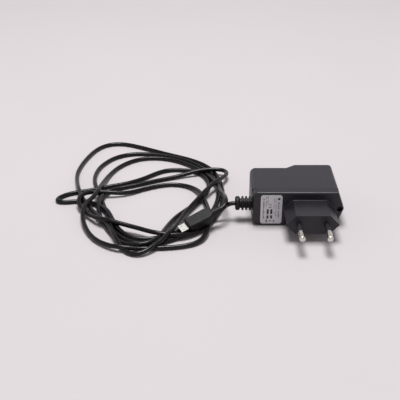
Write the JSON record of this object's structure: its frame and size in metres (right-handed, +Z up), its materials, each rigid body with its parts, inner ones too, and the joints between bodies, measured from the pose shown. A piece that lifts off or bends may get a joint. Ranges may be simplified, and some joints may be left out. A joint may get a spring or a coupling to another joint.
{
  "type": "plug-in mains charger",
  "caption": "Small black plug-in mains charger with a two-pin plug stub, V-nosed case, ribbed strain relief and a loosely coiled cord ending in a micro-size connector.",
  "frame": {"origin": "at the base, under the middle of the case and pins, as the charger lies on its long narrow side", "axes": "+Z up; the plug pins point along -Y; the cord leaves along -X"},
  "size_m": [0.2043, 0.1709, 0.026],
  "materials": {
    "case_plastic": "fine-textured moulded black",
    "label_film": "silver printed film",
    "plated_brass": "bright nickel plate",
    "sleeve_plastic": "satin black",
    "screw_steel": "blackened steel",
    "cord_pvc": "satin black flexible PVC",
    "plug_steel": "satin nickel-plated steel",
    "plug_insulator": "black",
    "contact_gold": "gold plated",
    "board_laminate": "tan paper laminate",
    "resistor_body": "lacquered",
    "diode_epoxy": "moulded epoxy",
    "ferrite": "sintered dark grey",
    "bobbin_plastic": "moulded black",
    "enamelled_copper": "lacquered copper wire",
    "tape_film": "yellow polyester tape",
    "capacitor_sleeve": "printed shrink sleeve",
    "ceramic_blue": "dipped blue coating",
    "mains_wire": "red insulated wire",
    "output_wire": "black insulated wire"
  },
  "bodies": {
    "root": {"case_screw": "screw_steel", "circuit_board": "board_laminate", "clamp_capacitor": "ceramic_blue", "clamp_diode": "diode_epoxy", "controller_chip": "diode_epoxy", "cord_coil": "cord_pvc", "cord_lead": "cord_pvc", "cord_tail": "cord_pvc", "front_shell": "case_plastic", "fusible_resistor": "resistor_body", "input_capacitors": "capacitor_sleeve", "line_choke": "ferrite", "live_pin": "plated_brass", "live_pin_sleeve": "sleeve_plastic", "mains_leads": "mains_wire", "neutral_pin": "plated_brass", "neutral_pin_sleeve": "sleeve_plastic", "optocoupler": "diode_epoxy", "output_capacitors": "capacitor_sleeve", "output_choke": "ferrite", "output_diode": "diode_epoxy", "output_leads": "output_wire", "pin_retainer": "sleeve_plastic", "plug_contacts": "contact_gold", "plug_latches": "plug_steel", "plug_overmould": "cord_pvc", "plug_shell": "plug_steel", "plug_tongue": "plug_insulator", "rating_label": "label_film", "rear_shell": "case_plastic", "rectifier_diodes": "diode_epoxy", "reference_chip": "diode_epoxy", "strain_relief": "cord_pvc", "transformer_bobbin": "bobbin_plastic", "transformer_core_front": "ferrite", "transformer_core_rear": "ferrite", "transformer_tape": "tape_film", "transformer_winding": "enamelled_copper", "y_capacitor": "ceramic_blue"}
  },
  "joints": []
}
